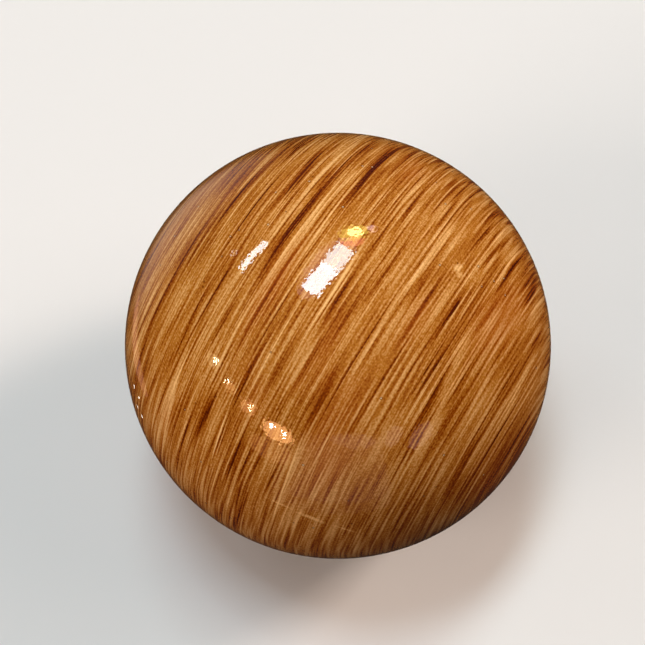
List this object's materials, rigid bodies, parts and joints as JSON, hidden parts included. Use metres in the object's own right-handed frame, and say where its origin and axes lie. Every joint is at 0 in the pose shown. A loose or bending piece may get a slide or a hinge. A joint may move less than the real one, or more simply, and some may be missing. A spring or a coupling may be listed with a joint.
{
  "type": "case opening friction ball",
  "caption": "Lacquered wooden ball grip on an aluminium cup that holds a push-fit rubber friction pad, for turning screw-back watch cases open by hand.",
  "frame": {"origin": "centre of the pad's flat working face, on which the tool stands", "axes": "+Z along the axis of the ball, from the working face up through the grip; +Y points at the first drive pin"},
  "size_m": [0.065, 0.065, 0.0602],
  "materials": {
    "lacquered_wood": "turned hardwood with streaked orange-brown grain under thick high-gloss clear lacquer",
    "soft_rubber": "soft moulded rubber, matt, with a ground working face",
    "turned_aluminium": "fine turned, clear anodised",
    "insert_brass": "machined, bare",
    "hardware_steel": "bright zinc plated"
  },
  "bodies": {
    "pad": {"friction_pad": "soft_rubber"},
    "handle": {"ball_grip": "lacquered_wood", "thread_insert": "insert_brass", "pad_cup": "turned_aluminium", "spring_washer": "hardware_steel", "cup_screw": "hardware_steel", "drive_pin_1": "hardware_steel", "drive_pin_2": "hardware_steel", "drive_pin_3": "hardware_steel"}
  },
  "joints": [
    {"name": "handle_lift", "type": "slide", "parent": "pad", "child": "handle", "axis": [0, 0, 1], "range_m": [0, 0.02]}
  ]
}
